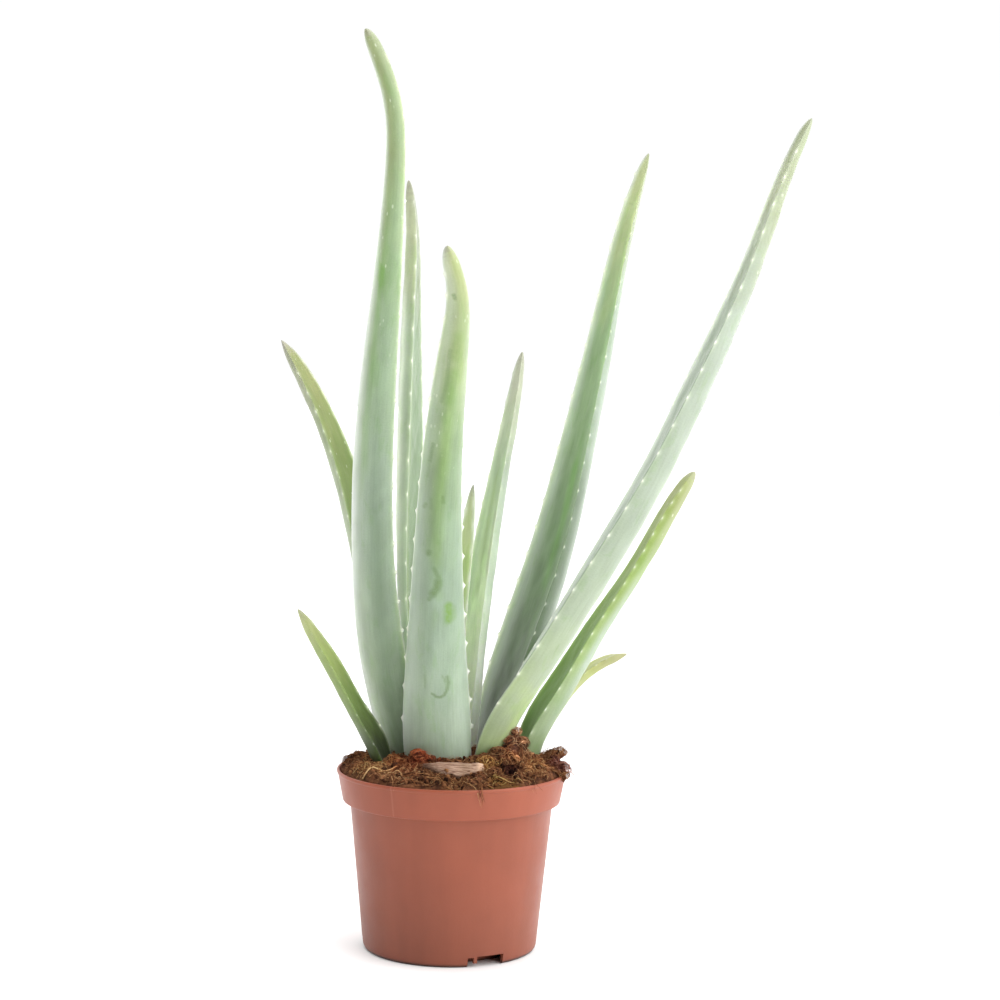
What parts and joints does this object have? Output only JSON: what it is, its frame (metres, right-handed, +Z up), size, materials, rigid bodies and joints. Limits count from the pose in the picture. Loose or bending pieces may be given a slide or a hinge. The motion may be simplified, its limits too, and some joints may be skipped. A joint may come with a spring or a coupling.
{
  "type": "potted aloe plant",
  "caption": "Young aloe plant with long fleshy toothed leaves and a small offset, in a terracotta-coloured plastic nursery pot with drain notches.",
  "frame": {"origin": "centre of the pot's underside, on the surface that the pot stands on", "axes": "+Z up along the pot's centre line, -Y toward the plant's front, +X toward the side that the long leaf and the offset lean to"},
  "size_m": [0.2711, 0.1335, 0.47],
  "materials": {
    "pot_plastic": "satin",
    "coir_soil": "rough",
    "bark": "rough",
    "leaf_grey_green": "waxy satin",
    "leaf_dark_green": "waxy satin",
    "leaf_bright_green": "waxy satin"
  },
  "bodies": {
    "root": {"pot": "pot_plastic", "soil": "coir_soil", "bark_chip": "bark", "leaf_front": "leaf_grey_green", "leaf_tall_left": "leaf_grey_green", "leaf_upright_back": "leaf_grey_green", "leaf_heart": "leaf_bright_green", "leaf_inner_right": "leaf_grey_green", "leaf_broad_right": "leaf_dark_green", "leaf_long_right": "leaf_grey_green", "leaf_back_left": "leaf_bright_green", "leaf_low_left": "leaf_bright_green", "offset_leaf_long": "leaf_bright_green", "offset_leaf_short": "leaf_bright_green"}
  },
  "joints": []
}
